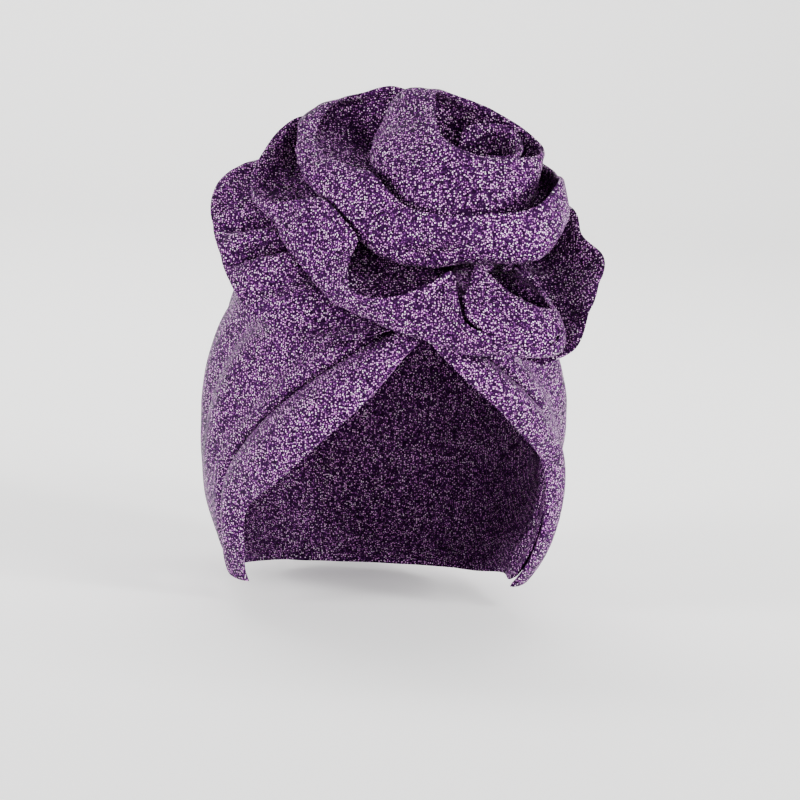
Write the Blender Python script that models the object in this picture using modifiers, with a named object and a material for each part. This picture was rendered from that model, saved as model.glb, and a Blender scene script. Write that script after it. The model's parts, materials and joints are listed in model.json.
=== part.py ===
"""A knitted turban cap with a large coiled rose sewn over its front, held as a head holds it.

Metres, +Z up, the front toward -Y, the wearer's left toward +X.
The origin is the middle of the head hollow, level with its widest line above the ears.
"""
import math

import bpy
import numpy as np

MM = 0.001

# Driving sizes of the cap, in millimetres
HALF_WIDTH = 79.8
HALF_LENGTH = 102.0
TOP_HEIGHT = 107.0
LOWER_DEPTH = 95.0
UPPER_FULLNESS = 2.2
LOWER_FULLNESS = 2.3
FRONT_TAPER = 0.13
CROWN_THICKNESS = 2.0
BAND_THICKNESS = 2.4
PETAL_THICKNESS = 2.4
SEAT_GAP = 0.5

# Colours of the purple knit
CROWN_COLOUR = "#5B3A78"
BAND_COLOUR = "#54346E"

# Mesh fineness
CROWN_COLUMNS = 60
CROWN_ROWS = 16
BAND_COLUMNS = 20
BAND_ROWS = 4
PETAL_ROWS = 6
FINE_STEPS = 24
MM_PER_DEGREE = 1.5
SEAT_SEARCH = 80.0
SEAT_EXACT = 0.01

# The two front bands, from the knot down to the tip before the ear.
# Columns: turn and height of the face edge, turn and height of the upper edge (deg, mm)
BAND_RIGHT = (
    (-4.5, 60, -12, 61),
    (-5.0, 55, -19, 54.5),
    (-12, 46, -29, 47),
    (-24, 27, -43, 34),
    (-38, 7, -55, 19),
    (-51, -12, -66, 3),
    (-62, -25, -74.5, -13),
    (-67, -36, -78, -30),
    (-70, -50, -81, -44),
    (-79, -68, -87, -58),
)
BAND_LEFT = (
    (-1.0, 59, 7, 63),
    (-1.5, 53, 13, 52),
    (9, 42, 25, 46),
    (25, 27, 41, 33),
    (38, 14, 54, 20),
    (50, 2, 65, 7),
    (57, -11, 72, -8),
    (63, -27, 76, -26),
    (68, -46, 80, -43),
    (77, -66, 86, -57),
)
BAND_COVER = 0.28
BAND_ARCH = 3.2
BAND_CLEARANCE = 0.4
BAND_TUCK = 1.2
BAND_FLAT_SHARE = 0.22

# The hem behind the ears, from the wearer's left round the nape to the right: turn and height
NAPE_HEM = ((96, -66), (115, -71), (145, -75), (180, -77), (215, -75), (245, -71), (264, -66))

# Soft folds of the crown, which fan out from under the rose.
# Columns: turn and height at the start, at the middle and at the end, depth (+ in), width (mm)
CROWN_FOLDS = (
    (-22, 66, -56, 36, -84, -24, 2.6, 8.0),
    (-50, 60, -76, 26, -93, -34, -2.0, 9.0),
    (-62, 66, -86, 34, -104, -26, 2.6, 8.0),
    (-76, 82, -108, 50, -126, -14, 2.0, 10.0),
    (16, 64, 54, 36, 82, -20, 2.2, 8.0),
    (50, 60, 74, 24, 92, -32, -1.6, 9.0),
    (62, 66, 86, 30, 104, -24, 2.2, 8.0),
    (78, 82, 108, 50, 126, -14, 2.0, 10.0),
    (150, 90, 164, 40, 171, -34, 2.0, 11.0),
    (-150, 90, -166, 40, -175, -34, 2.0, 11.0),
)
FOLD_SAMPLES = 40

# Seats of the rose on the crown: centre (mm) and the way it faces (turn toward +X, tilt up)
ROSE_SEAT = ((-7.0, -66.0, 88.0), (-10.0, 45.0))
BUD_SEAT = ((8.0, -55.0, 95.0), (30.0, 67.0))

# Each sheet of the rose is a table of sections round the axis of the seat that it faces from.
# Turn 0 is up and 90 toward +X (deg); reach is out from the axis and rise is along it (mm).
# Its root is sewn on a ring round the bud's axis.
# A root's columns: ring radius and foot height (mm), turn of its first end and of its last end (deg)

# Heart: turn, belly reach and rise, rim reach and rise
HEART_ROOT = (3.5, 6.0, 20, 330)
HEART_SECTIONS = (
    (20, 15, 24, 20, 42),
    (60, 17, 26, 21, 48),
    (100, 17, 26, 20, 48),
    (135, 14, 26, 16, 46),
    (180, 10, 24, 8, 43),
    (230, 9, 24, 6, 40),
    (280, 10, 24, 7, 38),
    (330, 11, 24, 12, 38),
)

# Bud: turn, belly reach and rise, shoulder reach and rise, rim reach and rise
BUD_ROOT = (9.0, 6.0, 0, 360)
BUD_SECTIONS = (
    (0, 38, 20, 42, 42, 31, 52),
    (44, 31, 20, 33, 38, 31, 49),
    (95, 27, 20, 30, 38, 31, 47),
    (125, 27, 22, 28, 40, 26, 48),
    (155, 29, 22, 27, 39, 18, 47),
    (180, 31, 21, 26, 37, 15, 46),
    (215, 31, 18, 25, 35, 14, 45),
    (250, 32, 16, 27, 33, 17, 45),
    (281, 34, 17, 31, 32, 18, 45),
    (305, 37, 19, 36, 31, 20, 47),
    (330, 39, 20, 41, 34, 23, 49),
    (348, 40, 20, 46, 42, 29, 52),
)

# Wrap: turn, belly reach and rise, rim reach and rise
WRAP_ROOT = (15.0, 6.0, 0, 360)
WRAP_SECTIONS = (
    (0, 57, 24, 57, 40),
    (30, 47, 20, 48, 35),
    (70, 42, 20, 42, 34),
    (110, 41, 22, 38, 38),
    (130, 43, 24, 36, 42),
    (150, 45, 26, 37, 46),
    (168, 48, 19, 41, 43),
    (180, 46, 15, 42, 38),
    (195, 41, 12, 41, 34),
    (210, 38, 8, 39, 30),
    (235, 40, 0, 40, 24),
    (255, 44, -2, 41, 21),
    (270, 49, 1, 41, 22),
    (285, 54, 6, 44, 24),
    (300, 60, 6, 53, 20),
    (312, 66, 9, 60, 17),
    (325, 72, 14, 67, 18),
    (338, 74, 18, 70, 25),
    (350, 68, 20, 66, 33),
)

# Low ruffle: belly turn, reach and rise, rim turn, reach and rise
LOW_ROOT = (22.0, 4.2, 354, 168)
LOW_SECTIONS = (
    (338, 60, -13, 334, 69, -5),
    (320, 68, -6, 321, 82, 8),
    (298, 66, -3, 297, 78, 5),
    (289, 66, 0, 287, 71, 6),
    (281, 59, 2, 281, 58, 13),
    (275, 57, 2, 281, 41, 22),
    (262, 51, 2, 263, 31, 24),
    (250, 47, 2, 243, 27, 22),
    (240, 45, 2, 232, 34, 20),
    (222, 42, 2, 215, 43, 18),
    (205, 41, 3, 199, 42, 19),
    (186, 44, 4, 180, 38, 23),
    (173, 48, 4, 154, 32, 26),
    (165, 52, 4, 155, 42, 25),
    (156, 57, 4, 156, 54, 20),
    (143, 64, 4, 146, 64, 16),
    (128, 72, 0, 130, 76, 9),
    (117, 68, -3, 121, 70, 9),
    (107, 54, -1, 112, 56, 11),
    (98, 40, -1, 104, 43, 10),
)

# Tuck, inside the low ruffle's last wave: belly turn, reach and rise, rim turn, reach and rise
TUCK_ROOT = (18.6, 5.6, 208, 182)
TUCK_SECTIONS = (
    (142, 30, 12, 126, 31, 17),
    (141, 42, 12, 127, 39, 17),
    (138, 50, 12, 126, 47, 16),
    (132, 56, 10, 123, 53, 13),
    (124, 60, 7, 117, 58, 9),
)

# Right ruffle, on the wearer's right: middle turn, reach and rise, rim turn, reach and rise
RIGHT_ROOT = (28.5, 1.8, 304, 235)
RIGHT_SECTIONS = (
    (287, 66, -7, 286, 89, -14),
    (281, 64, -14, 281, 87, -15),
    (275, 64, -6, 275, 83, -16),
    (269, 62, -13, 269, 80, -16),
    (262, 60, -5, 262, 77, -16),
    (252, 58, -5, 252, 73, -15),
    (240, 54, -6, 240, 68, -12),
    (226, 49, -9.5, 227, 62, -9),
    (212, 43, -6, 212, 54, -4),
    (200, 39, -3.5, 198, 45, -2),
    (191, 36, -3.5, 190, 40, -1),
)

# Back ruffle, behind the others: middle turn, reach and rise, rim turn, reach and rise
BACK_ROOT = (33.0, 2.5, 319, 393)
BACK_SECTIONS = (
    (281, 62, -19, 281, 84, -23),
    (288, 64, -20, 288, 92, -18),
    (297, 64, -17, 297, 96, -16),
    (306, 62, -20, 306, 93, -15),
    (317, 62, -17, 315, 88, -17),
    (330, 60, -20, 330, 83, -19),
    (344, 60, -17, 344, 80, -17),
    (358, 60, -20, 358, 80, -19),
    (371, 60, -18, 371, 80, -18),
)

# Left ruffle, on the wearer's left: middle turn, reach and rise, rim turn, reach and rise
LEFT_ROOT = (27.0, 2.5, 176, 43)
LEFT_SECTIONS = (
    (130, 56, -14, 130, 73, -9),
    (120, 58, -14, 120, 80, -4),
    (110, 60, -16, 109, 78, 0),
    (98, 60, -13, 98, 79, 2),
    (88, 60, -14, 88, 80, 3),
    (78, 57, -20, 78, 73, 1),
    (66, 57, -20, 66, 74, 0),
    (52, 56, -24, 52, 71, -9),
    (38, 54, -22, 38, 70, -15),
    (20, 52, -24, 20, 70, -19),
)

# Columns: name, seat, root, sections, mesh columns, whether it closes on itself, colour
ROSE_SHEETS = (
    ("rose_heart", BUD_SEAT, HEART_ROOT, HEART_SECTIONS, 20, False, "#6A4489"),
    ("rose_bud", BUD_SEAT, BUD_ROOT, BUD_SECTIONS, 32, True, "#6F4890"),
    ("rose_wrap", BUD_SEAT, WRAP_ROOT, WRAP_SECTIONS, 42, True, "#66407F"),
    ("rose_ruffle_low", ROSE_SEAT, LOW_ROOT, LOW_SECTIONS, 46, False, "#5F3C7C"),
    ("rose_tuck", ROSE_SEAT, TUCK_ROOT, TUCK_SECTIONS, 10, False, "#66407F"),
    ("rose_ruffle_right", ROSE_SEAT, RIGHT_ROOT, RIGHT_SECTIONS, 26, False, "#5B3A78"),
    ("rose_ruffle_back", ROSE_SEAT, BACK_ROOT, BACK_SECTIONS, 22, False, "#59397A"),
    ("rose_ruffle_left", ROSE_SEAT, LEFT_ROOT, LEFT_SECTIONS, 26, False, "#5D3B79"),
)


def clear_scene():
    """Start from an empty scene."""
    for old in list(bpy.data.objects):
        bpy.data.objects.remove(old, do_unlink=True)


def cap_collection(name):
    """A collection that holds every piece of the cap."""
    collection = bpy.data.collections.new(name)
    bpy.context.scene.collection.children.link(collection)
    return collection


def linear(hex_colour):
    """The linear colour of an sRGB hex text."""
    parts = [int(hex_colour[i:i + 2], 16) / 255 for i in (1, 3, 5)]
    return [c / 12.92 if c <= 0.04045 else ((c + 0.055) / 1.055) ** 2.4 for c in parts] + [1.0]


def knit_material(name, hex_colour):
    """Metallic-thread knit in one flat colour."""
    material = bpy.data.materials.new(name + "_knit")
    material.use_nodes = True
    shader = material.node_tree.nodes["Principled BSDF"]
    shader.inputs["Base Color"].default_value = linear(hex_colour)
    shader.inputs["Roughness"].default_value = 0.5
    shader.inputs["Metallic"].default_value = 0.35
    return material


def through(rows, count, lap=None):
    """An even, smooth run of count rows through a table's rows; lap is what one full turn adds."""
    rows = np.array(rows, float)
    if lap is None:
        rows = np.vstack([2 * rows[0] - rows[1], rows, 2 * rows[-1] - rows[-2]])
    else:
        rows = np.vstack([rows[-1] - lap, rows, rows[0] + lap, rows[1] + lap])
    spans = len(rows) - 3
    fine = np.linspace(0, spans, FINE_STEPS * spans + 1)
    at = np.minimum(fine.astype(int), spans - 1)
    t = (fine - at)[:, None]
    a, b, c, d = rows[at], rows[at + 1], rows[at + 2], rows[at + 3]
    curve = 0.5 * (2 * b + (c - a) * t + (2 * a - 5 * b + 4 * c - d) * t ** 2
                   + (3 * b - a - 3 * c + d) * t ** 3)
    steps = np.linalg.norm(np.diff(curve, axis=0), axis=1)
    along = np.concatenate([[0], np.cumsum(steps)])
    wanted = np.linspace(0, along[-1], count if lap is None else count + 1)[:count]
    return np.stack([np.interp(wanted, along, column) for column in curve.T], axis=1)


def plan_share(height):
    """The share of the full plan that the cap has at a height."""
    upper = np.clip(height / TOP_HEIGHT, 0, 1) ** UPPER_FULLNESS
    lower = np.clip(-height / LOWER_DEPTH, 0, 1) ** LOWER_FULLNESS
    above = (1 - upper) ** (1 / UPPER_FULLNESS)
    below = (1 - lower) ** (1 / LOWER_FULLNESS)
    return np.where(height >= 0, above, below)


def smooth_cap(turn, height):
    """Places on the cap's outer form, before its folds."""
    turn, height = np.broadcast_arrays(np.radians(turn), np.asarray(height, float))
    share = plan_share(height)
    y = -HALF_LENGTH * share * np.cos(turn)
    x = HALF_WIDTH * (1 + FRONT_TAPER * y / HALF_LENGTH) * share * np.sin(turn)
    return np.stack([x, y, height], axis=-1)


def cap_normal(turn, height):
    """The way that the cap's outer form faces."""
    high = np.minimum(height + 0.5, TOP_HEIGHT * 0.999)
    round_it = smooth_cap(turn + 0.5, height) - smooth_cap(turn - 0.5, height)
    up_it = smooth_cap(turn, high) - smooth_cap(turn, high - 1.0)
    normal = np.cross(round_it, up_it)
    return normal / np.linalg.norm(normal, axis=-1, keepdims=True)


def fold_depth(places):
    """How far the crown's folds move each place in, in millimetres."""
    total = np.zeros(places.shape[:-1])
    for start_turn, start_high, mid_turn, mid_high, end_turn, end_high, depth, width in CROWN_FOLDS:
        ends = ((start_turn, start_high), (mid_turn, mid_high), (end_turn, end_high))
        line = through(ends, FOLD_SAMPLES)
        path = smooth_cap(line[:, 0], line[:, 1])
        fade = np.sin(np.linspace(0, math.pi, FOLD_SAMPLES))
        away = np.linalg.norm(places[..., None, :] - path, axis=-1)
        total += depth * (np.exp(-(away / width) ** 2) * fade).max(axis=-1)
    return total


def folded_cap(turn, height, lift=0.0):
    """Places on the crown's outer face with its folds, moved out by lift."""
    places = smooth_cap(turn, height)
    out = lift - fold_depth(places)
    return places + cap_normal(turn, height) * out[..., None]


def cap_level(place):
    """Below zero inside the cap's outer form, above zero outside it."""
    x, y, z = place
    across = x / (HALF_WIDTH * (1 + FRONT_TAPER * y / HALF_LENGTH))
    return math.hypot(across, y / HALF_LENGTH) - float(plan_share(z))


def facing_frame(centre, faces):
    """Centre, across, up and out directions of a seat that faces a given way."""
    turn, tilt = math.radians(faces[0]), math.radians(faces[1])
    out = np.array((math.sin(turn) * math.cos(tilt), -math.cos(turn) * math.cos(tilt), math.sin(tilt)))
    across = np.array((math.cos(turn), math.sin(turn), 0.0))
    return np.array(centre), across, np.cross(out, across), out


def in_frame(frame, turn, reach, rise):
    """The place that a turn, reach and rise name in a seat's frame."""
    centre, across, up, out = frame
    turn = math.radians(turn)
    return centre + reach * (across * math.sin(turn) + up * math.cos(turn)) + rise * out


def seat_place(frame, turn, reach):
    """The place on the cap's outer form that lies under a turn and reach, and the way it faces there."""
    inside, outside = -SEAT_SEARCH, SEAT_SEARCH
    while outside - inside > SEAT_EXACT:
        middle = (inside + outside) / 2
        if cap_level(in_frame(frame, turn, reach, middle)) < 0:
            inside = middle
        else:
            outside = middle
    place = in_frame(frame, turn, reach, outside)
    slope = np.array([cap_level(place + step) - cap_level(place - step) for step in np.eye(3) / 2])
    return place, slope / np.linalg.norm(slope)


def petal_grid(frame, root, sections, columns, closed):
    """Places of a rose sheet: a row of columns round the axis at each level from root to rim."""
    ring, foot_height, first, last = root
    sections = np.array([with_turns(row) for row in sections], float)
    lap = np.tile([360.0, 0.0, 0.0], sections.shape[1] // 3) if closed else None
    ring_seat = facing_frame(*BUD_SEAT)
    lines = []
    root_turns = np.linspace(first, last, columns, endpoint=not closed)
    for turn, section in zip(root_turns, through(sections, columns, lap)):
        seat, outward = seat_place(ring_seat, turn, ring)
        foot = seat + outward * foot_height
        levels = [in_frame(frame, *level) for level in section.reshape(-1, 3)]
        lines.append(np.vstack([[seat + outward * SEAT_GAP], through([foot] + levels, PETAL_ROWS)]))
    return np.array(lines).transpose(1, 0, 2)


def with_turns(row):
    """A section with a turn before each of its levels; a section of one turn gives it once."""
    if len(row) % 3 == 0:
        return row
    return [value for level in range(1, len(row), 2) for value in (row[0], *row[level:level + 2])]


def grid_faces(rows, columns, closed):
    """The four-sided faces of a grid of places."""
    faces = []
    for row in range(rows - 1):
        for column in range(columns if closed else columns - 1):
            after = (column + 1) % columns
            here, above = row * columns, (row + 1) * columns
            faces.append((here + column, here + after, above + after, above + column))
    return faces


def cloth_object(collection, name, places, faces, thickness, offset, colour):
    """An open sheet of places and faces, made solid by its thickness."""
    mesh = bpy.data.meshes.new(name)
    mesh.from_pydata([tuple(place * MM) for place in places], [], faces)
    mesh.materials.append(knit_material(name, colour))
    mesh.polygons.foreach_set("use_smooth", [True] * len(mesh.polygons))
    piece = bpy.data.objects.new(name, mesh)
    collection.objects.link(piece)
    shell = piece.modifiers.new("thickness", "SOLIDIFY")
    shell.thickness = thickness * MM
    shell.offset = offset
    return piece


def crown_edge():
    """Turn and height of the crown's edge, once round from the wearer's right tip."""
    right = [(low_turn + (high_turn - low_turn) * BAND_COVER, low + (high - low) * BAND_COVER)
             for low_turn, low, high_turn, high in BAND_RIGHT[:0:-1]]
    left = [(low_turn + (high_turn - low_turn) * BAND_COVER, low + (high - low) * BAND_COVER)
            for low_turn, low, high_turn, high in BAND_LEFT[1:]]
    loop = np.array(right + left + list(NAPE_HEM), float) * (MM_PER_DEGREE, 1)
    return through(loop, CROWN_COLUMNS, np.array((360 * MM_PER_DEGREE, 0))) / (MM_PER_DEGREE, 1)


def make_crown(collection):
    """The hollow crown, open below and over the face."""
    turn, edge = crown_edge().T
    full = np.where(edge >= 0, TOP_HEIGHT, LOWER_DEPTH)
    start = np.arcsin(edge / full)
    steps = np.linspace(0, 1, CROWN_ROWS + 1)[:-1, None]
    rise = np.sin(start + (math.pi / 2 - start) * steps)
    height = np.where(rise >= 0, TOP_HEIGHT, LOWER_DEPTH) * rise
    grid = folded_cap(np.broadcast_to(turn, height.shape), height)
    places = np.vstack([grid.reshape(-1, 3), [(0.0, 0.0, TOP_HEIGHT)]])
    faces = grid_faces(CROWN_ROWS, CROWN_COLUMNS, True)
    top = len(places) - 1
    ring = top - CROWN_COLUMNS
    faces += [(ring + i, ring + (i + 1) % CROWN_COLUMNS, top) for i in range(CROWN_COLUMNS)]
    cloth_object(collection, "crown", places, faces, CROWN_THICKNESS, -1, CROWN_COLOUR)


def make_band(collection, name, table, outward):
    """One front band, arched over the crown's edge."""
    line = through(table, BAND_COLUMNS)
    across = np.linspace(0, 1, BAND_ROWS + 1)[:, None]
    turn = line[:, 0] + (line[:, 2] - line[:, 0]) * across
    height = line[:, 1] + (line[:, 3] - line[:, 1]) * across
    raised = np.clip(np.linspace(0, 1, BAND_COLUMNS) / BAND_FLAT_SHARE, 0, 1)
    lift = BAND_CLEARANCE + raised * BAND_ARCH * np.sin(math.pi * across) ** 2
    lift[0] -= raised * (BAND_CLEARANCE + BAND_TUCK)
    grid = folded_cap(turn, height, lift)
    faces = grid_faces(BAND_ROWS + 1, BAND_COLUMNS, False)
    cloth_object(collection, name, grid.reshape(-1, 3), faces, BAND_THICKNESS, outward, BAND_COLOUR)


def make_rose_sheet(collection, name, seat, root, sections, columns, closed, colour):
    """One sheet of the rose, seated on the crown at its root."""
    grid = petal_grid(facing_frame(*seat), root, sections, columns, closed)
    faces = grid_faces(PETAL_ROWS + 1, columns, closed)
    cloth_object(collection, name, grid.reshape(-1, 3), faces, PETAL_THICKNESS, 0, colour)


def main():
    """Make every piece of the cap."""
    clear_scene()
    collection = cap_collection("floral_turban_cap")
    make_crown(collection)
    make_band(collection, "front_band_right", BAND_RIGHT, -1)
    make_band(collection, "front_band_left", BAND_LEFT, 1)
    for name, seat, root, sections, columns, closed, colour in ROSE_SHEETS:
        make_rose_sheet(collection, name, seat, root, sections, columns, closed, colour)


main()
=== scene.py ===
import json
import math

import bpy
import numpy as np
from mathutils import Matrix, Vector, noise

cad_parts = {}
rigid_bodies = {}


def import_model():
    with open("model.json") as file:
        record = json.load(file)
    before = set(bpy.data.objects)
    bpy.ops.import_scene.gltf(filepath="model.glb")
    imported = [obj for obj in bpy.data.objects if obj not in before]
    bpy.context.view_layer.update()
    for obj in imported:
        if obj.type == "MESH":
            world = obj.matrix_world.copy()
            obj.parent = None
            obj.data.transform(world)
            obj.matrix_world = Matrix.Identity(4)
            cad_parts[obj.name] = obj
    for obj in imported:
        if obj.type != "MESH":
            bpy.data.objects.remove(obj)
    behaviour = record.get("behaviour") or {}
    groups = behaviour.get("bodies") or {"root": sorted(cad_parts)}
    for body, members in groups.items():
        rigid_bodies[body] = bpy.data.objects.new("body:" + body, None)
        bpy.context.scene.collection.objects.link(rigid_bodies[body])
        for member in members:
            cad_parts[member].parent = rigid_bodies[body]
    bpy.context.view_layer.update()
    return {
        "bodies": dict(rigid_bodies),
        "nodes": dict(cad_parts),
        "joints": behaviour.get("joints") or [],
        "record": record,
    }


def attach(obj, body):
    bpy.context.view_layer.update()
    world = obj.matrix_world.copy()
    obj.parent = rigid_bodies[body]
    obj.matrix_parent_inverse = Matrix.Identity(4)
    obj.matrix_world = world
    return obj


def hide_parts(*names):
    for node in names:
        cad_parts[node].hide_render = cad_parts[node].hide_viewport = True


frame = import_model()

# A knitted turban cap of purple metallic-thread knit with a large coiled rose over its front.
# Metres, +Z up, the front toward -Y, the wearer's left toward +X.

MM = 0.001

# Driving sizes of the cap, in millimetres
HALF_WIDTH = 79.8
HALF_LENGTH = 102.0
TOP_HEIGHT = 107.0
LOWER_DEPTH = 95.0
UPPER_FULLNESS = 2.2
LOWER_FULLNESS = 2.3
FRONT_TAPER = 0.13
CROWN_THICKNESS = 2.0
BAND_THICKNESS = 2.4
SEAT_GAP = 0.5

# Mesh fineness
CROWN_COLUMNS = 340
CROWN_ROWS = 124
BAND_COLUMNS = 190
BAND_ROWS = 34
PETAL_ROWS = 34
FINE_STEPS = 24
MM_PER_DEGREE = 1.5
SEAT_SEARCH = 80.0
SEAT_EXACT = 0.01
NORMAL_REACH = 0.5
HIGHEST_SHARE = 0.999

# The two front bands, from the knot down to the tip before the ear.
# Columns: turn and height of the face edge, turn and height of the upper edge (deg, mm)
BAND_RIGHT = (
    (-4.5, 60, -12, 61),
    (-5.0, 55, -19, 54.5),
    (-12, 46, -29, 47),
    (-24, 27, -43, 34),
    (-38, 7, -55, 19),
    (-51, -12, -66, 3),
    (-62, -25, -74.5, -13),
    (-67, -36, -78, -30),
    (-70, -50, -81, -44),
    (-79, -68, -87, -58),
)
BAND_LEFT = (
    (-1.0, 59, 7, 63),
    (-1.5, 53, 13, 52),
    (9, 42, 25, 46),
    (25, 27, 41, 33),
    (38, 14, 54, 20),
    (50, 2, 65, 7),
    (57, -11, 72, -8),
    (63, -27, 76, -26),
    (68, -46, 80, -43),
    (77, -66, 86, -57),
)

# How a front band lies: share of its width over the crown, height of its arch, clearance over the
# crown, how far its face edge turns in (mm), over which share of the width, and the share of the
# length over which it rises out of the knot
BAND_COVER = 0.28
BAND_ARCH = 3.2
BAND_CLEARANCE = 0.4
BAND_TUCK = 1.2
BAND_TUCK_SHARE = 0.25
BAND_FLAT_SHARE = 0.22

# The hem behind the ears, from the wearer's left round the nape to the right: turn and height
NAPE_HEM = ((96, -66), (115, -71), (145, -75), (180, -77), (215, -75), (245, -71), (264, -66))

# Soft folds of the crown, which fan out from under the rose.
# Columns: turn and height at the start, at the middle and at the end, depth (+ in), width (mm)
CROWN_FOLDS = (
    (-22, 66, -56, 36, -84, -24, 2.6, 8.0),
    (-50, 60, -76, 26, -93, -34, -2.0, 9.0),
    (-62, 66, -86, 34, -104, -26, 2.6, 8.0),
    (-76, 82, -108, 50, -126, -14, 2.0, 10.0),
    (16, 64, 54, 36, 82, -20, 2.2, 8.0),
    (50, 60, 74, 24, 92, -32, -1.6, 9.0),
    (62, 66, 86, 30, 104, -24, 2.2, 8.0),
    (78, 82, 108, 50, 126, -14, 2.0, 10.0),
    (150, 90, 164, 40, 171, -34, 2.0, 11.0),
    (-150, 90, -166, 40, -175, -34, 2.0, 11.0),
)
FOLD_SAMPLES = 40
FOLD_DEEPEN = 1.4

# The valley where the crown meets the upper edge of each front band, and the crown's lip over it
CREASE_DEPTH = 6.0
CREASE_WIDTH = 4.0
CREASE_SAMPLES = 120
LIP_WIDTH = 2.2
LIP_AWAY = 5.0
LIP_HEIGHT = 1.4

# Seats of the rose on the crown: centre (mm) and the way it faces (turn toward +X, tilt up)
ROSE_SEAT = ((-7.0, -66.0, 88.0), (-10.0, 45.0))
BUD_SEAT = ((8.0, -55.0, 95.0), (30.0, 67.0))

# Each sheet of the rose is a table of sections round the axis of the seat that it faces from.
# Turn 0 is up and 90 toward +X (deg); reach is out from the axis and rise is along it (mm).
# Its root is sewn on a ring round the bud's axis.
# A root's columns: ring radius and foot height (mm), turn of its first and its last end (deg)

# Heart: turn, belly reach and rise, rim reach and rise
HEART_ROOT = (3.5, 6.0, 20, 330)
HEART_SECTIONS = (
    (20, 15, 24, 20, 42),
    (60, 17, 26, 21, 48),
    (100, 17, 26, 20, 48),
    (135, 14, 26, 16, 46),
    (180, 10, 24, 8, 43),
    (230, 9, 24, 6, 40),
    (280, 10, 24, 7, 38),
    (330, 11, 24, 12, 38),
)

# Bud: turn, belly reach and rise, shoulder reach and rise, rim reach and rise
BUD_ROOT = (9.0, 6.0, 0, 360)
BUD_SECTIONS = (
    (0, 38, 20, 42, 42, 31, 52),
    (44, 31, 20, 33, 38, 31, 49),
    (95, 27, 20, 30, 38, 31, 47),
    (125, 27, 22, 28, 40, 26, 48),
    (155, 29, 22, 27, 39, 18, 47),
    (180, 31, 21, 26, 37, 15, 46),
    (215, 31, 18, 25, 35, 14, 45),
    (250, 32, 16, 27, 33, 17, 45),
    (281, 34, 17, 31, 32, 18, 45),
    (305, 37, 19, 36, 31, 20, 47),
    (330, 39, 20, 41, 34, 23, 49),
    (348, 40, 20, 46, 42, 29, 52),
)

# Wrap: turn, belly reach and rise, rim reach and rise
WRAP_ROOT = (15.0, 6.0, 0, 360)
WRAP_SECTIONS = (
    (0, 57, 24, 57, 40),
    (30, 47, 20, 48, 35),
    (70, 42, 20, 42, 34),
    (110, 41, 22, 38, 38),
    (130, 43, 24, 36, 42),
    (150, 45, 26, 37, 46),
    (168, 48, 19, 41, 43),
    (180, 46, 15, 42, 38),
    (195, 41, 12, 41, 34),
    (210, 38, 8, 39, 30),
    (235, 40, 0, 40, 24),
    (255, 44, -2, 41, 21),
    (270, 49, 1, 41, 22),
    (285, 54, 6, 44, 24),
    (300, 60, 6, 53, 20),
    (312, 66, 9, 60, 17),
    (325, 72, 14, 67, 18),
    (338, 74, 18, 70, 25),
    (350, 68, 20, 66, 33),
)

# Low ruffle: belly turn, reach and rise, rim turn, reach and rise
LOW_ROOT = (22.0, 4.2, 354, 168)
LOW_SECTIONS = (
    (338, 60, -13, 334, 69, -5),
    (320, 68, -6, 321, 82, 8),
    (298, 66, -3, 297, 78, 5),
    (289, 66, 0, 287, 71, 6),
    (281, 59, 2, 281, 58, 13),
    (275, 57, 2, 281, 41, 22),
    (262, 51, 2, 263, 31, 24),
    (250, 47, 2, 243, 27, 22),
    (240, 45, 2, 232, 34, 20),
    (222, 42, 2, 215, 43, 18),
    (205, 41, 3, 199, 42, 19),
    (186, 44, 4, 180, 38, 23),
    (173, 48, 4, 154, 32, 26),
    (165, 52, 4, 155, 42, 25),
    (156, 57, 4, 156, 54, 20),
    (143, 64, 4, 146, 64, 16),
    (128, 72, 0, 130, 76, 9),
    (117, 68, -3, 121, 70, 9),
    (107, 54, -1, 112, 56, 11),
    (98, 40, -1, 104, 43, 10),
)

# Tuck, inside the low ruffle's last wave: belly turn, reach and rise, rim turn, reach and rise.
# Its face slopes out to the low ruffle's inner wall.
TUCK_ROOT = (18.6, 5.6, 208, 182)
TUCK_SECTIONS = (
    (153, 43, 22, 126, 31, 19),
    (153, 54, 19, 127, 40, 19),
    (145, 64, 14.5, 127, 50, 17),
    (132, 73.5, 8, 124, 60, 14),
    (122, 69.5, 6, 118, 66, 9),
)

# Right ruffle, on the wearer's right: middle turn, reach and rise, rim turn, reach and rise.
# Its gathers stand up in three ridges between its pockets.
RIGHT_ROOT = (28.5, 1.8, 304, 235)
RIGHT_SECTIONS = (
    (287, 66, -2, 286, 89, -14),
    (281, 64, -14, 281, 87, -15),
    (275, 64, -1, 275, 83, -16),
    (269, 62, -13, 269, 80, -16),
    (262, 60, 0, 262, 77, -16),
    (252, 58, -7, 252, 73, -15),
    (240, 54, -3, 240, 68, -12),
    (226, 49, -9.5, 227, 62, -9),
    (212, 43, -6, 212, 54, -4),
    (200, 39, -3.5, 198, 45, -2),
    (191, 36, -3.5, 190, 40, -1),
)

# Back ruffle, behind the others: middle turn, reach and rise, rim turn, reach and rise
BACK_ROOT = (33.0, 2.5, 319, 393)
BACK_SECTIONS = (
    (281, 62, -19, 281, 84, -23),
    (288, 64, -20, 288, 92, -18),
    (297, 64, -17, 297, 96, -16),
    (306, 62, -20, 306, 93, -15),
    (317, 62, -17, 315, 88, -17),
    (330, 60, -20, 330, 83, -19),
    (344, 60, -17, 344, 80, -17),
    (358, 60, -20, 358, 80, -19),
    (371, 60, -18, 371, 80, -18),
)

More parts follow.
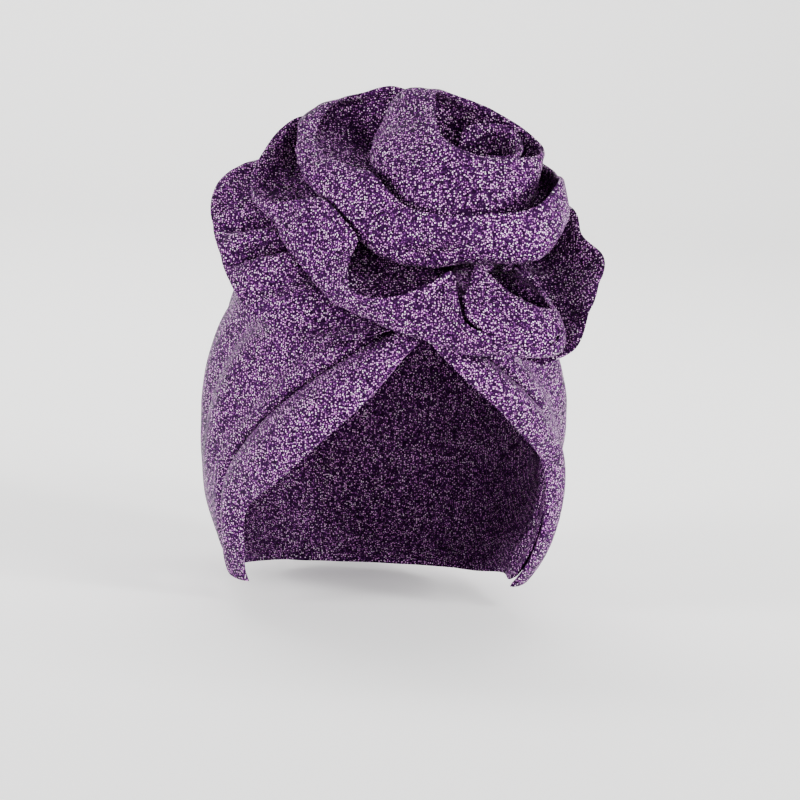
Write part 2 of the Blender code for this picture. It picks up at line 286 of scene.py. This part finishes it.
# Left ruffle, on the wearer's left: middle turn, reach and rise, rim turn, reach and rise
LEFT_ROOT = (27.0, 2.5, 176, 43)
LEFT_SECTIONS = (
    (130, 56, -14, 130, 73, -9),
    (120, 58, -14, 120, 80, -4),
    (110, 60, -16, 109, 78, 0),
    (98, 60, -13, 98, 79, 2),
    (88, 60, -14, 88, 80, 3),
    (78, 57, -20, 78, 73, 1),
    (66, 57, -20, 66, 74, 0),
    (52, 56, -24, 52, 71, -9),
    (38, 54, -22, 38, 70, -15),
    (20, 52, -24, 20, 70, -19),
)


def through(rows, count, lap=None):
    """An even, smooth run of count rows through a table's rows; lap is what one full turn adds."""
    rows = np.array(rows, float)
    if lap is None:
        rows = np.vstack([2 * rows[0] - rows[1], rows, 2 * rows[-1] - rows[-2]])
    else:
        rows = np.vstack([rows[-1] - lap, rows, rows[0] + lap, rows[1] + lap])
    spans = len(rows) - 3
    fine = np.linspace(0, spans, FINE_STEPS * spans + 1)
    at = np.minimum(fine.astype(int), spans - 1)
    t = (fine - at)[:, None]
    a, b, c, d = rows[at], rows[at + 1], rows[at + 2], rows[at + 3]
    curve = 0.5 * (2 * b + (c - a) * t + (2 * a - 5 * b + 4 * c - d) * t ** 2
                   + (3 * b - a - 3 * c + d) * t ** 3)
    steps = np.linalg.norm(np.diff(curve, axis=0), axis=1)
    along = np.concatenate([[0], np.cumsum(steps)])
    wanted = np.linspace(0, along[-1], count if lap is None else count + 1)[:count]
    return np.stack([np.interp(wanted, along, column) for column in curve.T], axis=1)


def plan_share(height):
    """The share of the full plan that the cap has at a height."""
    upper = np.clip(height / TOP_HEIGHT, 0, 1) ** UPPER_FULLNESS
    lower = np.clip(-height / LOWER_DEPTH, 0, 1) ** LOWER_FULLNESS
    above = (1 - upper) ** (1 / UPPER_FULLNESS)
    below = (1 - lower) ** (1 / LOWER_FULLNESS)
    return np.where(height >= 0, above, below)


def smooth_cap(turn, height):
    """Places on the cap's outer form, before its folds."""
    turn, height = np.broadcast_arrays(np.radians(turn), np.asarray(height, float))
    share = plan_share(height)
    y = -HALF_LENGTH * share * np.cos(turn)
    x = HALF_WIDTH * (1 + FRONT_TAPER * y / HALF_LENGTH) * share * np.sin(turn)
    return np.stack([x, y, height], axis=-1)


def cap_normal(turn, height):
    """The way that the cap's outer form faces."""
    high = np.minimum(height + NORMAL_REACH, TOP_HEIGHT * HIGHEST_SHARE)
    round_it = smooth_cap(turn + NORMAL_REACH, height) - smooth_cap(turn - NORMAL_REACH, height)
    up_it = smooth_cap(turn, high) - smooth_cap(turn, high - 2 * NORMAL_REACH)
    normal = np.cross(round_it, up_it)
    return normal / np.linalg.norm(normal, axis=-1, keepdims=True)


def fold_depth(places):
    """How far the crown's folds move each place in, in millimetres."""
    total = np.zeros(places.shape[:-1])
    for start_turn, start_high, mid_turn, mid_high, end_turn, end_high, depth, width in CROWN_FOLDS:
        ends = ((start_turn, start_high), (mid_turn, mid_high), (end_turn, end_high))
        line = through(ends, FOLD_SAMPLES)
        path = smooth_cap(line[:, 0], line[:, 1])
        fade = np.sin(np.linspace(0, math.pi, FOLD_SAMPLES))
        away = np.linalg.norm(places[..., None, :] - path, axis=-1)
        total += FOLD_DEEPEN * depth * (np.exp(-(away / width) ** 2) * fade).max(axis=-1)
    return total + crease_depth(places)


def crease_depth(places):
    """How far the valley beside each front band goes in, and its lip out, in millimetres."""
    total = np.zeros(places.shape[:-1])
    for table in (BAND_RIGHT, BAND_LEFT):
        line = through(table, CREASE_SAMPLES)
        path = smooth_cap(line[:, 2], line[:, 3])
        faceward = smooth_cap(line[:, 0], line[:, 1]) - path
        fade = np.clip(np.linspace(0, 1, CREASE_SAMPLES) / BAND_FLAT_SHARE, 0, 1)
        step = places[..., None, :] - path
        nearest = np.linalg.norm(step, axis=-1).argmin(axis=-1)
        step = np.take_along_axis(step, nearest[..., None, None], -2)[..., 0, :]
        away = np.linalg.norm(step, axis=-1)
        on_band = (step * faceward[nearest]).sum(axis=-1) > 0
        valley = CREASE_DEPTH * np.exp(-away / np.where(on_band, CREASE_WIDTH, LIP_WIDTH))
        lip = np.where(on_band, 0.0, LIP_HEIGHT * np.exp(-((away - LIP_AWAY) / LIP_AWAY) ** 2))
        total += (valley - lip) * fade[nearest]
    return total


def folded_cap(turn, height, lift=0.0):
    """Places on the crown's outer face with its folds, moved out by lift."""
    places = smooth_cap(turn, height)
    out = lift - fold_depth(places)
    return places + cap_normal(turn, height) * out[..., None]


def cap_level(place):
    """Below zero inside the cap's outer form, above zero outside it."""
    x, y, z = place
    across = x / (HALF_WIDTH * (1 + FRONT_TAPER * y / HALF_LENGTH))
    return math.hypot(across, y / HALF_LENGTH) - float(plan_share(z))


def facing_frame(centre, faces):
    """Centre, across, up and out directions of a seat that faces a given way."""
    turn, tilt = math.radians(faces[0]), math.radians(faces[1])
    flat = math.cos(tilt)
    out = np.array((math.sin(turn) * flat, -math.cos(turn) * flat, math.sin(tilt)))
    across = np.array((math.cos(turn), math.sin(turn), 0.0))
    return np.array(centre), across, np.cross(out, across), out


def in_frame(frame, turn, reach, rise):
    """The place that a turn, reach and rise name in a seat's frame."""
    centre, across, up, out = frame
    turn = math.radians(turn)
    return centre + reach * (across * math.sin(turn) + up * math.cos(turn)) + rise * out


def seat_place(frame, turn, reach):
    """The place on the cap's outer form under a turn and reach, and the way it faces there."""
    inside, outside = -SEAT_SEARCH, SEAT_SEARCH
    while outside - inside > SEAT_EXACT:
        middle = (inside + outside) / 2
        if cap_level(in_frame(frame, turn, reach, middle)) < 0:
            inside = middle
        else:
            outside = middle
    place = in_frame(frame, turn, reach, outside)
    slope = np.array([cap_level(place + step) - cap_level(place - step)
                      for step in np.eye(3) * NORMAL_REACH])
    return place, slope / np.linalg.norm(slope)


def petal_grid(frame, root, sections, columns, closed):
    """Places of a rose sheet: a row of columns round the axis at each level from root to rim."""
    ring, foot_height, first, last = root
    sections = np.array([with_turns(row) for row in sections], float)
    lap = np.tile([360.0, 0.0, 0.0], sections.shape[1] // 3) if closed else None
    ring_seat = facing_frame(*BUD_SEAT)
    lines = []
    root_turns = np.linspace(first, last, columns, endpoint=not closed)
    for turn, section in zip(root_turns, through(sections, columns, lap)):
        seat, outward = seat_place(ring_seat, turn, ring)
        foot = seat + outward * foot_height
        levels = [in_frame(frame, *level) for level in section.reshape(-1, 3)]
        lines.append(np.vstack([[seat + outward * SEAT_GAP], through([foot] + levels, PETAL_ROWS)]))
    return np.array(lines).transpose(1, 0, 2)


def with_turns(row):
    """A section with a turn before each of its levels; a section of one turn gives it once."""
    if len(row) % 3 == 0:
        return row
    return [value for level in range(1, len(row), 2) for value in (row[0], *row[level:level + 2])]


def crown_edge():
    """Turn and height of the crown's edge, once round from the wearer's right tip."""
    right = [(low_turn + (high_turn - low_turn) * BAND_COVER, low + (high - low) * BAND_COVER)
             for low_turn, low, high_turn, high in BAND_RIGHT[:0:-1]]
    left = [(low_turn + (high_turn - low_turn) * BAND_COVER, low + (high - low) * BAND_COVER)
            for low_turn, low, high_turn, high in BAND_LEFT[1:]]
    loop = np.array(right + left + list(NAPE_HEM), float) * (MM_PER_DEGREE, 1)
    return through(loop, CROWN_COLUMNS, np.array((360 * MM_PER_DEGREE, 0))) / (MM_PER_DEGREE, 1)


# The rose's sheets. Columns: name, seat, root, sections, mesh columns, whether it closes on
# itself, how much it ripples (mm)
ROSE_SHEETS = (
    ("rose_heart", BUD_SEAT, HEART_ROOT, HEART_SECTIONS, 130, False, 0.4),
    ("rose_bud", BUD_SEAT, BUD_ROOT, BUD_SECTIONS, 220, True, 0.5),
    ("rose_wrap", BUD_SEAT, WRAP_ROOT, WRAP_SECTIONS, 300, True, 0.7),
    ("rose_ruffle_low", ROSE_SEAT, LOW_ROOT, LOW_SECTIONS, 340, False, 0.7),
    ("rose_tuck", ROSE_SEAT, TUCK_ROOT, TUCK_SECTIONS, 90, False, 0.3),
    ("rose_ruffle_right", ROSE_SEAT, RIGHT_ROOT, RIGHT_SECTIONS, 200, False, 0.8),
    ("rose_ruffle_back", ROSE_SEAT, BACK_ROOT, BACK_SECTIONS, 180, False, 0.8),
    ("rose_ruffle_left", ROSE_SEAT, LEFT_ROOT, LEFT_SECTIONS, 200, False, 0.9),
)

# Dents pressed into a sheet. Columns: sheet, place along and from root to rim (shares), reach of
# each, depth (mm, + outward)
SHEET_DENTS = (
    ("rose_wrap", 0.60, 0.80, 0.045, 0.07, -3.2),
    ("rose_wrap", 0.62, 0.62, 0.05, 0.06, 1.6),
)

# The hand of the cloth: a strip folded double, fuller beside its folded rim (mm, shares)
FOLDED_THICKNESS = 1.9
RIM_BULGE = 1.12
BAND_BULGE = 1.2
RIM_RUN = 5.0
RIM_ROUND = 0.8
ROOT_ROUND = 0.5
HEM_ROUND = 0.6

# Fine ripples of a worn knit, and the finer ones of the rose's strips (mm); each has its own seed
RIPPLE_SIZE = 16.0
FINE_RIPPLE_SIZE = 6.0
FINE_RIPPLE_SHARE = 0.45
ROSE_RIPPLE_SEED = 1.0
ROSE_FINE_SEED = 5.0
ROSE_SOFT_SHARE = 0.75
CROWN_RIPPLE_SEED = 3.0
CROWN_RIPPLE = 0.35

# Where the crown's rows end, and how far its middle stands over the last one (mm)
CROWN_TOP_SHARE = 0.985
CROWN_TOP_RISE = 0.1


def lengths_along(grid):
    """Distance of each place of a grid from its first row, along its column."""
    steps = np.linalg.norm(np.diff(grid, axis=0), axis=2)
    return np.vstack([np.zeros(grid.shape[1]), np.cumsum(steps, axis=0)])


def grid_normals(grid, closed):
    """The way that a grid of places faces at each place."""
    if closed:
        round_it = np.roll(grid, -1, axis=1) - np.roll(grid, 1, axis=1)
    else:
        round_it = np.gradient(grid, axis=1)
    up_it = np.gradient(grid, axis=0)
    normal = np.cross(round_it, up_it)
    size = np.linalg.norm(normal, axis=2, keepdims=True)
    return normal / np.maximum(size, 1e-9)


def ripples(grid, size, seed):
    """Smooth noise at each place of a grid, about -1 to 1."""
    flat = grid.reshape(-1, 3) / size + seed
    return np.array([noise.noise(Vector(place)) for place in flat]).reshape(grid.shape[:2]) * 2


def round_edge(distance, half):
    """Share of the thickness left at a distance from an edge that is rounded over."""
    share = np.clip(distance / half, 0, 1)
    return np.sqrt(np.maximum(1 - (1 - share) ** 2, 0))


def cloth_thickness(grid, thickness, closed, bulge):
    """Thickness of a folded strip: fuller beside its folded rim, rounded over at its edges."""
    along = lengths_along(grid)
    to_rim = along[-1] - along
    full = thickness * (1 + (bulge - 1) * np.exp(-((to_rim - RIM_RUN / 2) / RIM_RUN) ** 2))
    full *= round_edge(to_rim, thickness * RIM_ROUND) * round_edge(along, thickness * ROOT_ROUND)
    if not closed:
        steps = np.linalg.norm(np.diff(grid, axis=1), axis=2)
        from_start = np.hstack([np.zeros((len(grid), 1)), np.cumsum(steps, axis=1)])
        to_end = from_start[:, -1:] - from_start
        full *= round_edge(np.minimum(from_start, to_end), thickness * RIM_ROUND)
    return full


def ring_faces(rows, columns, closed):
    """Faces of a run of rows whose last row meets its first."""
    span = columns if closed else columns - 1
    faces = []
    for row in range(rows):
        here, above = row * columns, (row + 1) % rows * columns
        for column in range(span):
            after = (column + 1) % columns
            faces.append((here + column, here + after, above + after, above + column))
    return faces


def end_faces(rows, columns):
    """Faces that close the two open ends of a flattened tube of rows."""
    faces = []
    for row in range(rows // 2 - 1):
        low, high = row * columns, (row + 1) * columns
        far_low, far_high = (rows - 1 - row) * columns, (rows - 2 - row) * columns
        faces.append((low, high, far_high, far_low))
        last = columns - 1
        faces.append((low + last, far_low + last, far_high + last, high + last))
    return faces


def cloth_piece(name, grid, thickness, closed, material, replaced):
    """A sheet of cloth as a closed skin round a grid of places."""
    normal = grid_normals(grid, closed)
    half = thickness[..., None] / 2
    outer, inner = grid + normal * half, grid - normal * half
    skin = np.vstack([outer, inner[::-1]])
    rows, columns = skin.shape[:2]
    faces = ring_faces(rows, columns, closed)
    if not closed:
        faces += end_faces(rows, columns)
    mesh = bpy.data.meshes.new(name)
    mesh.from_pydata((skin.reshape(-1, 3) * MM).tolist(), [], faces)
    mesh.materials.append(material)
    mesh.polygons.foreach_set("use_smooth", [True] * len(mesh.polygons))
    lay_uv(mesh, grid, columns, rows)
    mesh.validate()
    piece = bpy.data.objects.new(name, mesh)
    bpy.context.scene.collection.objects.link(piece)
    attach(piece, "root")
    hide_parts(replaced)
    return piece


def lay_uv(mesh, grid, columns, rows):
    """UV in metres of cloth: along the strip, and from root to rim."""
    steps = np.linalg.norm(np.diff(grid, axis=1), axis=2).mean(axis=0)
    across = np.concatenate([[0], np.cumsum(steps)]) * MM
    up = lengths_along(grid).mean(axis=1) * MM
    up = np.concatenate([up, up[::-1]])
    layer = mesh.uv_layers.new(name="cloth")
    index = np.empty(len(mesh.loops), dtype=np.int32)
    mesh.loops.foreach_get("vertex_index", index)
    uv = np.stack([across[index % columns], up[index // columns]], axis=1)
    layer.data.foreach_set("uv", uv.astype(np.float32).ravel())


def linear(hex_colour):
    """The linear colour of an sRGB hex text."""
    parts = [int(hex_colour[i:i + 2], 16) / 255 for i in (1, 3, 5)]
    return [c / 12.92 if c <= 0.04045 else ((c + 0.055) / 1.055) ** 2.4 for c in parts] + [1.0]


def add_node(tree, kind, settings=None, inputs=None):
    """A node with its settings, and its inputs set to values or linked from sockets."""
    node = tree.nodes.new(kind)
    for key, value in (settings or {}).items():
        setattr(node, key, value)
    for key, value in (inputs or {}).items():
        socket = live_socket(node.inputs, key)
        if isinstance(value, bpy.types.NodeSocket):
            tree.links.new(value, socket)
        else:
            socket.default_value = value
    return node


def live_socket(sockets, key):
    """The socket of a name or place that the node's settings have turned on."""
    if isinstance(key, int):
        return sockets[key]
    return [socket for socket in sockets if socket.name == key and socket.enabled][0]


# Metallic-thread knit: a dark violet stretch knit laid in with flat foil yarn that its loops cut
# into short bright points, each turned its own way, so some glint and their neighbours stay dark;
# their glint is also painted into their colour as a light lilac to near white.
# The points lie about half a millimetre apart; they are drawn 0.8 mm apart, or they would blur
# into an even grey in the picture. A fleck's core and edge are shares of that spacing.
FLECK_MM = 0.8
FLECK_SCATTER = 0.8
FLECK_CORE = 0.22
FLECK_EDGE = 0.42
FLECK_TURN = 0.7
# A fleck's colour runs from the foil yarn's own lilac to near white at its light end, which is
# painted glint.
FLECK_AND_GLINT_STOPS = (
    (0.0, "#4A2055"),
    (0.28, "#8E4898"),
    (0.5, "#D584D8"),
    (0.75, "#FFBEFF"),
    (1.0, "#FFF0FF"),
)
KNIT_BASE = "#30103A"
KNIT_SHADE = "#120518"
KNIT_GLANCE = "#7A3C90"
KNIT_ROUGHNESS = 0.42
KNIT_METALLIC = 0.1
KNIT_SPECULAR = 0.03

# Painted shade: the knit's colour is darkened in the cloth's hollows and in the sharp creases
# between folds, where shade falls. Each: reach (m), how open the place is from its darkest to its
# full colour, and what is left at the darkest
PAINTED_SHADE_HOLLOWS = (0.02, (0.1, 0.7), 0.55)
PAINTED_SHADE_CREASES = (0.005, (0.2, 0.75), 0.22)
PAINTED_SHADE_SAMPLES = 8

# Slow change of tone where the knit is stretched more or less
CLOUD_SCALE = 70.0
CLOUD_DETAIL = 3.0
CLOUD_SPREAD = (0.3, 0.7)
CLOUD_RANGE = (0.85, 1.15)


def fleck_and_glint_ramp(tree, value):
    """The colour of a fleck from its own random value: the foil's lilac, up to painted glint."""
    ramp = add_node(tree, "ShaderNodeValToRGB", None, {"Fac": value})
    stops = ramp.color_ramp.elements
    while len(stops) < len(FLECK_AND_GLINT_STOPS):
        stops.new(0.5)
    for stop, (at, colour) in zip(stops, FLECK_AND_GLINT_STOPS):
        stop.position = at
        stop.color = linear(colour)
    return ramp.outputs["Color"]


def ranged(tree, value, spread, result):
    """A value moved from one spread to another and kept inside it."""
    return add_node(tree, "ShaderNodeMapRange", None,
                    {"Value": value, "From Min": spread[0], "From Max": spread[1],
                     "To Min": result[0], "To Max": result[1]}).outputs["Result"]


def painted_hollow_shade(tree, hollows):
    """Painted shade: the share of its colour that the cloth keeps in hollows of one reach."""
    reach, openness, darkest = hollows
    opened = add_node(tree, "ShaderNodeAmbientOcclusion", {"samples": PAINTED_SHADE_SAMPLES},
                      {"Distance": reach}).outputs["AO"]
    return ranged(tree, opened, openness, (darkest, 1.0))


def times(tree, first, second):
    """The product of two sockets."""
    return add_node(tree, "ShaderNodeMath", {"operation": "MULTIPLY"},
                    {0: first, 1: second}).outputs["Value"]


def vector_of(tree, operation, inputs):
    """The vector that a vector math node gives."""
    node = add_node(tree, "ShaderNodeVectorMath", {"operation": operation}, inputs)
    return node.outputs["Vector"]


def glitter_knit(name):
    """Purple metallic-thread knit, with painted shade in its deep folds and painted glint."""
    material = bpy.data.materials.new(name)
    material.use_nodes = True
    tree = material.node_tree
    shader = tree.nodes["Principled BSDF"]
    places = add_node(tree, "ShaderNodeTexCoord").outputs["Object"]
    flecks = add_node(tree, "ShaderNodeTexVoronoi", {"feature": "F1"},
                      {"Vector": places, "Scale": 1 / (FLECK_MM * MM),
                       "Randomness": FLECK_SCATTER}).outputs
    chance = add_node(tree, "ShaderNodeSeparateColor", None, {"Color": flecks["Color"]}).outputs
    loops = add_node(tree, "ShaderNodeMix", {"data_type": "RGBA"},
                     {"Factor": chance["Green"], "A": linear(KNIT_BASE), "B": linear(KNIT_SHADE)})
    foil = ranged(tree, flecks["Distance"], (FLECK_CORE, FLECK_EDGE), (1.0, 0.0))
    knit = add_node(tree, "ShaderNodeMix", {"data_type": "RGBA"},
                    {"Factor": foil, "A": live_socket(loops.outputs, "Result"),
                     "B": fleck_and_glint_ramp(tree, chance["Red"])})
    cloud = add_node(tree, "ShaderNodeTexNoise", None,
                     {"Vector": places, "Scale": CLOUD_SCALE, "Detail": CLOUD_DETAIL})
    shade = ranged(tree, cloud.outputs["Fac"], CLOUD_SPREAD, CLOUD_RANGE)
    # Painted shade: the knit's colour is darkened in its hollows and sharp creases.
    shade = times(tree, shade, painted_hollow_shade(tree, PAINTED_SHADE_HOLLOWS))
    shade = times(tree, shade, painted_hollow_shade(tree, PAINTED_SHADE_CREASES))
    tinted = vector_of(tree, "SCALE", {0: live_socket(knit.outputs, "Result"), "Scale": shade})
    tree.links.new(tinted, shader.inputs["Base Color"])
    lean = vector_of(tree, "SUBTRACT", {0: flecks["Color"], 1: (0.5, 0.5, 0.5)})
    lean = vector_of(tree, "SCALE", {0: lean, "Scale": FLECK_TURN})
    facing = add_node(tree, "ShaderNodeNewGeometry").outputs["Normal"]
    turned = vector_of(tree, "ADD", {0: facing, 1: lean})
    tree.links.new(vector_of(tree, "NORMALIZE", {0: turned}), shader.inputs["Normal"])
    shader.inputs["Roughness"].default_value = KNIT_ROUGHNESS
    shader.inputs["Metallic"].default_value = KNIT_METALLIC
    shader.inputs["Specular IOR Level"].default_value = KNIT_SPECULAR
    shader.inputs["Specular Tint"].default_value = linear(KNIT_GLANCE)
    return material


def make_crown(material):
    """The crown, drawn from its edge up to its top."""
    turn, edge = crown_edge().T
    full = np.where(edge >= 0, TOP_HEIGHT, LOWER_DEPTH)
    start = np.arcsin(edge / full)
    steps = np.linspace(0, CROWN_TOP_SHARE, CROWN_ROWS)[:, None]
    rise = np.sin(start + (math.pi / 2 - start) * steps)
    height = np.where(rise >= 0, TOP_HEIGHT, LOWER_DEPTH) * rise
    grid = folded_cap(np.broadcast_to(turn, height.shape), height, -CROWN_THICKNESS / 2)
    middle = grid[-1].mean(axis=0) + (0, 0, CROWN_TOP_RISE)
    grid = np.vstack([grid, np.broadcast_to(middle, (1,) + grid.shape[1:])])
    up = grid_normals(grid, True)
    waves = ripples(grid[:-1], RIPPLE_SIZE, CROWN_RIPPLE_SEED)
    grid[:-1] += up[:-1] * (waves * CROWN_RIPPLE)[..., None]
    thickness = np.full(grid.shape[:2], CROWN_THICKNESS)
    thickness *= round_edge(lengths_along(grid), CROWN_THICKNESS * HEM_ROUND)
    thickness[-1] = CROWN_THICKNESS
    return cloth_piece("crown_knit", grid, thickness, True, material, "crown"), grid


def make_band(name, table, outward, material):
    """One front band: a folded strip arched over the crown's edge."""
    line = through(table, BAND_COLUMNS)
    across = np.linspace(0, 1, BAND_ROWS)[:, None]
    turn = line[:, 0] + (line[:, 2] - line[:, 0]) * across
    height = line[:, 1] + (line[:, 3] - line[:, 1]) * across
    raised = np.clip(np.linspace(0, 1, BAND_COLUMNS) / BAND_FLAT_SHARE, 0, 1)
    lift = BAND_CLEARANCE + raised * BAND_ARCH * np.sin(math.pi * across) ** 2
    tuck = np.clip(1 - across / BAND_TUCK_SHARE, 0, 1) ** 2
    lift = lift - raised * (BAND_CLEARANCE + BAND_TUCK) * tuck
    grid = folded_cap(turn, height, lift + BAND_THICKNESS / 2)
    if outward > 0:
        grid = grid[:, ::-1]
    from_face = cloth_thickness(grid, BAND_THICKNESS, False, BAND_BULGE)
    from_crown = cloth_thickness(grid[::-1], BAND_THICKNESS, False, BAND_BULGE)[::-1]
    thickness = np.minimum(from_face, from_crown)
    return cloth_piece(name + "_knit", grid, thickness, False, material, name), grid


def make_rose_sheet(name, seat, root, sections, columns, closed, ripple, material):
    """One sheet of the rose, gathered at its root and soft toward its rim."""
    grid = petal_grid(facing_frame(*seat), root, sections, columns, closed)
    up = grid_normals(grid, closed)
    along = lengths_along(grid)
    soft = np.sin(np.clip(along / along[-1], 0, 1) * math.pi * ROSE_SOFT_SHARE)
    waves = ripples(grid, RIPPLE_SIZE, ROSE_RIPPLE_SEED)
    waves = waves + FINE_RIPPLE_SHARE * ripples(grid, FINE_RIPPLE_SIZE, ROSE_FINE_SEED)
    grid = grid + up * (waves * ripple * soft)[..., None]
    for dented, column, row, column_reach, row_reach, depth in SHEET_DENTS:
        if dented == name:
            off_column = (np.arange(grid.shape[1]) / grid.shape[1] - column) / column_reach
            off_row = (np.linspace(0, 1, len(grid))[:, None] - row) / row_reach
            grid = grid + up * (depth * np.exp(-off_column ** 2 - off_row ** 2))[..., None]
    thickness = cloth_thickness(grid, FOLDED_THICKNESS, closed, RIM_BULGE)
    return cloth_piece(name + "_knit", grid, thickness, closed, material, name), grid


# Camera and studio
MM_PER_PX = 0.448
PHOTO_SIZE = 800
CAMERA_DISTANCE = 1.3
CAMERA_TURN = -11.5
CAMERA_RISE = 10.0
CAMERA_ROLL = 4.5
ORIGIN_AT = (384.5, 430.0)
SENSOR = 36.0

# The floor of pale paper, which sweeps up into a wall behind the cap (m)
FLOOR_LEVEL = -0.0785
FLOOR_FRONT = -30.0
FLOOR_SIDE = 20.0
SWEEP_START = 1.6
SWEEP_RADIUS = 0.8
SWEEP_STEPS = 13
WALL_TOP = 3.0
PAPER_COLOUR = "#F4F3F2"
PAPER_ROUGHNESS = 0.9
PAPER_GLOW = 0.3
ROOM_LIGHT = 0.3

# Soft square lights. Columns: name, place, what it aims at, side of the square (m), power (W)
STUDIO_LIGHTS = (
    ("front", (0.2, -1.7, 0.2), (0, 0, 0.06), 0.5, 8),
    ("key", (0.7, -1.2, 1.0), (0, -0.05, 0.08), 0.35, 11),
    ("side_left", (-1.35, -0.55, 0.3), (0, 0, 0.03), 0.4, 30),
    ("side_right", (1.5, -1.0, 0.45), (0.03, 0, 0.1), 0.4, 42),
    ("low_right", (0.8, -1.2, 0.04), (0.02, -0.08, 0.08), 0.2, 14),
    ("backdrop", (0.0, 0.6, 1.6), (0, 2.2, 0.2), 1.6, 60),
)


def make_camera():
    """The camera at the photograph's viewing angle."""
    turn, rise, roll = (math.radians(v) for v in (CAMERA_TURN, CAMERA_RISE, CAMERA_ROLL))
    flat = math.cos(rise)
    back = Vector((math.sin(turn) * flat, -math.cos(turn) * flat, math.sin(rise)))
    right = Vector((math.cos(turn), math.sin(turn), 0.0))
    up = back.cross(right)
    cam_right = right * math.cos(roll) + up * math.sin(roll)
    cam_up = up * math.cos(roll) - right * math.sin(roll)
    data = bpy.data.cameras.new("camera")
    data.sensor_width = SENSOR
    data.lens = SENSOR * CAMERA_DISTANCE / (MM_PER_PX * MM * PHOTO_SIZE)
    data.shift_x = (PHOTO_SIZE / 2 - ORIGIN_AT[0]) / PHOTO_SIZE
    data.shift_y = (ORIGIN_AT[1] - PHOTO_SIZE / 2) / PHOTO_SIZE
    camera = bpy.data.objects.new("camera", data)
    bpy.context.scene.collection.objects.link(camera)
    axes = Matrix((cam_right, cam_up, back)).transposed().to_4x4()
    camera.matrix_world = Matrix.Translation(back * CAMERA_DISTANCE) @ axes
    bpy.context.scene.camera = camera


def make_light(name, place, aim, size, power):
    """A soft square studio light."""
    data = bpy.data.lights.new(name, "AREA")
    data.shape = "SQUARE"
    data.size = size
    data.energy = power
    light = bpy.data.objects.new(name, data)
    light.location = place
    light.rotation_euler = (Vector(aim) - Vector(place)).to_track_quat("-Z", "Y").to_euler()
    bpy.context.scene.collection.objects.link(light)


def make_floor():
    """A plain pale floor that sweeps up into a plain wall."""
    curve = [(SWEEP_START + SWEEP_RADIUS * math.sin(turn), SWEEP_RADIUS * (1 - math.cos(turn)))
             for turn in np.linspace(0, math.pi / 2, SWEEP_STEPS)]
    profile = [(FLOOR_FRONT, 0.0)] + curve + [(SWEEP_START + SWEEP_RADIUS, WALL_TOP)]
    places = [(x, y, FLOOR_LEVEL + z) for y, z in profile for x in (-FLOOR_SIDE, FLOOR_SIDE)]
    faces = [(i * 2, i * 2 + 1, i * 2 + 3, i * 2 + 2) for i in range(len(profile) - 1)]
    mesh = bpy.data.meshes.new("studio_floor")
    mesh.from_pydata(places, [], faces)
    paper = bpy.data.materials.new("studio_paper")
    paper.use_nodes = True
    shader = paper.node_tree.nodes["Principled BSDF"]
    shader.inputs["Base Color"].default_value = linear(PAPER_COLOUR)
    shader.inputs["Roughness"].default_value = PAPER_ROUGHNESS
    shader.inputs["Emission Color"].default_value = (1, 1, 1, 1)
    shader.inputs["Emission Strength"].default_value = PAPER_GLOW
    mesh.materials.append(paper)
    mesh.polygons.foreach_set("use_smooth", [True] * len(mesh.polygons))
    floor = bpy.data.objects.new("studio_floor", mesh)
    bpy.context.scene.collection.objects.link(floor)


def make_studio():
    """The floor, the soft lights and an even light from all round."""
    make_floor()
    for light in STUDIO_LIGHTS:
        make_light(*light)
    world = bpy.data.worlds.new("studio")
    world.use_nodes = True
    world.node_tree.nodes["Background"].inputs["Color"].default_value = (1, 1, 1, 1)
    world.node_tree.nodes["Background"].inputs["Strength"].default_value = ROOM_LIGHT
    bpy.context.scene.world = world


def main():
    """Dress the cap and set the studio round it."""
    make_camera()
    make_studio()
    knit = glitter_knit("glitter_knit")
    crown = make_crown(knit)
    bands = [make_band("front_band_right", BAND_RIGHT, -1, knit),
             make_band("front_band_left", BAND_LEFT, 1, knit)]
    rose = [make_rose_sheet(*sheet, knit) for sheet in ROSE_SHEETS]


main()
